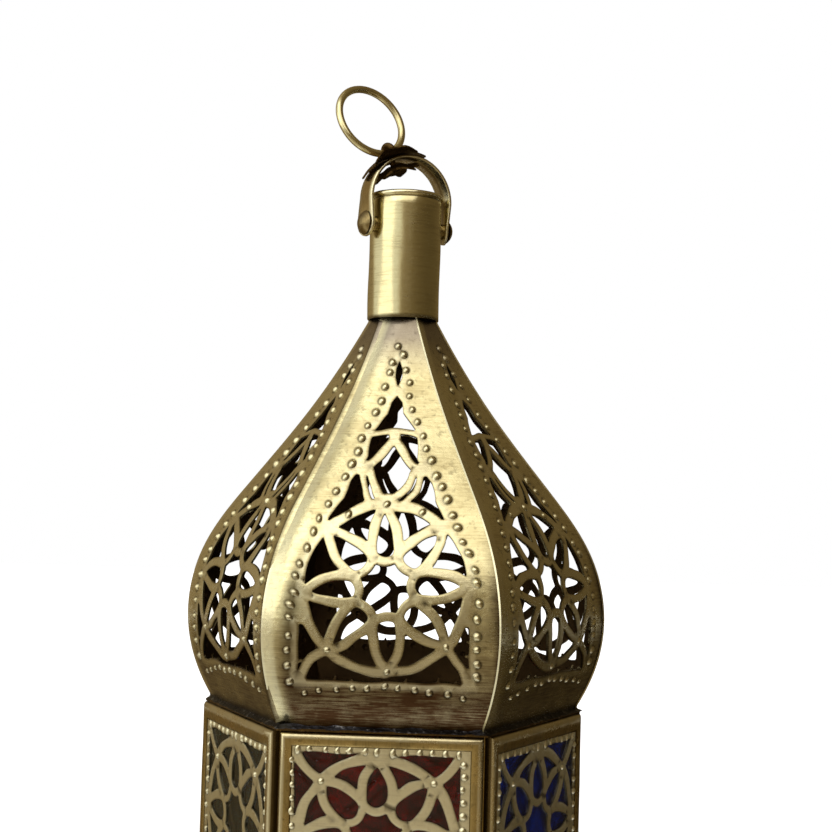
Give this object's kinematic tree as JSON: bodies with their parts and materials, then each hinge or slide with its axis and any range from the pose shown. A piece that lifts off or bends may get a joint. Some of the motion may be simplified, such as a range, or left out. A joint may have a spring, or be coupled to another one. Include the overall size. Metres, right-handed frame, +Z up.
{
  "type": "ramadan fanous lantern",
  "caption": "Hexagonal brass lantern with a pierced onion dome, coloured glass panes behind fretwork, a hinged door, a candle cup, and a bail with a swivelling hanging ring.",
  "frame": {"origin": "middle of the underside of the plinth, on the surface the lantern stands on", "axes": "+Z up along the lantern's axis, -Y out of the door, +X to the right of someone facing the door"},
  "size_m": [0.196, 0.1698, 0.4641],
  "materials": {
    "antiqued_brass": "brushed and antiqued, dark in the recesses",
    "dark_bronze": "dark oxidised",
    "red_glass": "transparent, slightly wavy",
    "blue_glass": "transparent, slightly wavy",
    "green_glass": "transparent, slightly wavy"
  },
  "bodies": {
    "lantern": {"foot_rim": "antiqued_brass", "plinth_skirt": "antiqued_brass", "base_tray": "antiqued_brass", "corner_posts": "dark_bronze", "shoulder_plate": "antiqued_brass", "panel_frame_right_front": "antiqued_brass", "fret_panel_right_front": "antiqued_brass", "glass_pane_right_front": "blue_glass", "panel_frame_right_back": "antiqued_brass", "fret_panel_right_back": "antiqued_brass", "glass_pane_right_back": "green_glass", "panel_frame_back": "antiqued_brass", "fret_panel_back": "antiqued_brass", "glass_pane_back": "red_glass", "panel_frame_left_back": "antiqued_brass", "fret_panel_left_back": "antiqued_brass", "glass_pane_left_back": "blue_glass", "panel_frame_left_front": "antiqued_brass", "fret_panel_left_front": "antiqued_brass", "glass_pane_left_front": "green_glass", "frame_knuckles": "antiqued_brass", "hinge_pins": "antiqued_brass", "catch_rivet": "antiqued_brass", "drip_pan": "antiqued_brass", "candle_cup": "antiqued_brass", "candle_rivet": "antiqued_brass", "dome_panel_front": "antiqued_brass", "dome_panel_right_front": "antiqued_brass", "dome_panel_right_back": "antiqued_brass", "dome_panel_back": "antiqued_brass", "dome_panel_left_back": "antiqued_brass", "dome_panel_left_front": "antiqued_brass", "chimney_tube": "antiqued_brass", "bail_spacers": "antiqued_brass", "bail_rivets": "antiqued_brass"},
    "door": {"panel_frame_front": "antiqued_brass", "fret_panel_front": "antiqued_brass", "glass_pane_front": "red_glass", "door_knuckles": "antiqued_brass"},
    "catch": {"turn_button": "antiqued_brass"},
    "bail": {"bail_strap": "antiqued_brass"},
    "swivel": {"swivel_eye": "antiqued_brass", "swivel_pin": "antiqued_brass", "star_rosette": "dark_bronze", "pin_collar": "dark_bronze"},
    "ring": {"hanging_ring": "antiqued_brass"}
  },
  "joints": [
    {"name": "door_swing", "type": "hinge", "parent": "lantern", "child": "door", "pos_m": [-0.043, -0.07448, 0.109], "axis": [0, 0, -1], "range_deg": [0, 110]},
    {"name": "catch_turn", "type": "hinge", "parent": "lantern", "child": "catch", "pos_m": [0, -0.07448, 0.0295], "axis": [0, -1, 0], "range_deg": [0, 90]},
    {"name": "bail_swing", "type": "hinge", "parent": "lantern", "child": "bail", "pos_m": [0, 0, 0.3993], "axis": [0.866, 0.5, 0], "range_deg": [-100, 100]},
    {"name": "eye_swivel", "type": "hinge", "parent": "bail", "child": "swivel", "pos_m": [0, 0, 0.4113], "axis": [-0.3522, -0.2034, 0.9135], "continuous": true},
    {"name": "ring_swing", "type": "hinge", "parent": "swivel", "child": "ring", "pos_m": [-0.00822, -0.00475, 0.43263], "axis": [-0.6408, -0.6591, -0.3938], "range_deg": [-82, 52]}
  ]
}
